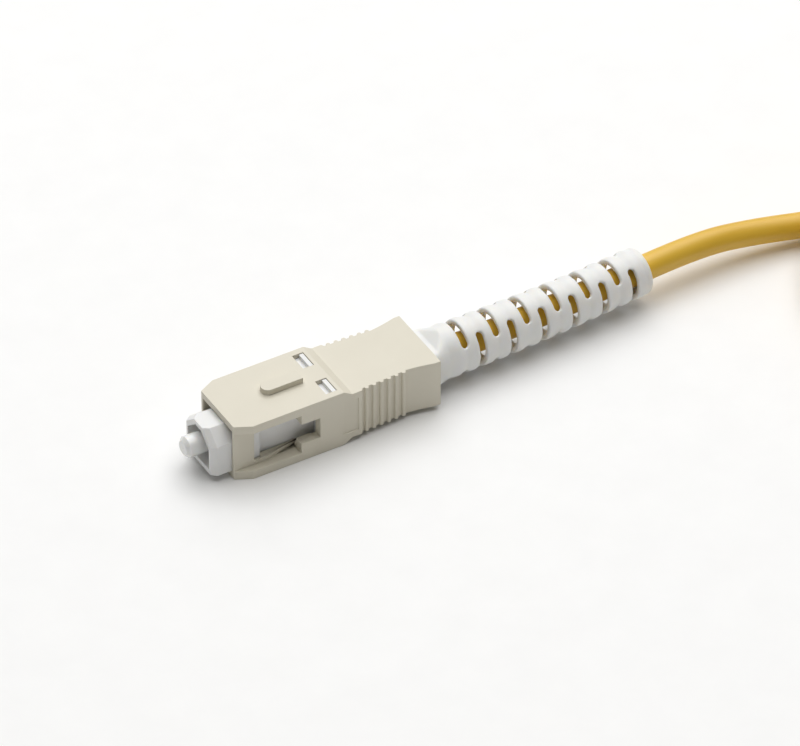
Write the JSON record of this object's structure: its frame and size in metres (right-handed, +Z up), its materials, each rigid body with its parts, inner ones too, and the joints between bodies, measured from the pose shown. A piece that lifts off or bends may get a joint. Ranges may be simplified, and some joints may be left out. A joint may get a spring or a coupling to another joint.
{
  "type": "fiber optic patch cord",
  "caption": "Simplex fibre optic patch cord with push-pull square plugs, slotted boots and a round jacket, its slack tied in a hank.",
  "frame": {"origin": "bottom centre of the near connector's box, on the surface that it lies on", "axes": "+X back along the near connector's axis, towards the cord; +Z up, through the key; +Y to the left of someone who looks along +X"},
  "size_m": [0.1702, 0.044, 0.0081],
  "materials": {
    "grip_plastic": "fine satin, moulded",
    "frame_plastic": "semi-gloss",
    "zirconia": "polished ceramic",
    "glass_fibre": "polished",
    "flange_metal": "turned",
    "buffer_plastic": "smooth",
    "tube_plastic": "waxy",
    "spring_steel": "drawn wire",
    "stop_metal": "nickel-plated, turned",
    "yarn": "fine straight yarn",
    "crimp_metal": "pressed",
    "boot_rubber": "soft satin",
    "jacket": "extruded PVC, slight sheen",
    "tie_strap": "woven hook-and-loop"
  },
  "bodies": {
    "cord": {"near_plug_frame": "frame_plastic", "near_guide_tube": "tube_plastic", "near_stop_body": "stop_metal", "near_aramid_yarn": "yarn", "near_crimp_ring": "crimp_metal", "near_boot": "boot_rubber", "near_cable_jacket": "jacket", "far_plug_frame": "frame_plastic", "far_guide_tube": "tube_plastic", "far_stop_body": "stop_metal", "far_aramid_yarn": "yarn", "far_crimp_ring": "crimp_metal", "far_boot": "boot_rubber", "far_cable_jacket": "jacket", "cord_lead": "jacket", "cord_hank": "jacket", "cord_tail": "jacket", "near_hank_tie": "tie_strap", "far_hank_tie": "tie_strap"},
    "near_grip": {"near_grip": "grip_plastic"},
    "near_ferrule": {"near_ferrule": "zirconia", "near_bare_fibre": "glass_fibre", "near_ferrule_flange": "flange_metal", "near_buffered_fibre": "buffer_plastic", "near_ferrule_spring": "spring_steel"},
    "far_grip": {"far_grip": "grip_plastic"},
    "far_ferrule": {"far_ferrule": "zirconia", "far_bare_fibre": "glass_fibre", "far_ferrule_flange": "flange_metal", "far_buffered_fibre": "buffer_plastic", "far_ferrule_spring": "spring_steel"}
  },
  "joints": [
    {"name": "near_grip_slide", "type": "slide", "parent": "cord", "child": "near_grip", "axis": [1, 0, 0], "range_m": [0, 0.0008]},
    {"name": "near_ferrule_float", "type": "slide", "parent": "cord", "child": "near_ferrule", "axis": [1, 0, 0], "range_m": [0, 0.001], "stiffness_N_per_m": 2500, "deforming": ["near_ferrule_spring"]},
    {"name": "far_grip_slide", "type": "slide", "parent": "cord", "child": "far_grip", "axis": [1, 0, 0], "range_m": [0, 0.0008]},
    {"name": "far_ferrule_float", "type": "slide", "parent": "cord", "child": "far_ferrule", "axis": [1, 0, 0], "range_m": [0, 0.001], "stiffness_N_per_m": 2500, "deforming": ["far_ferrule_spring"]}
  ]
}
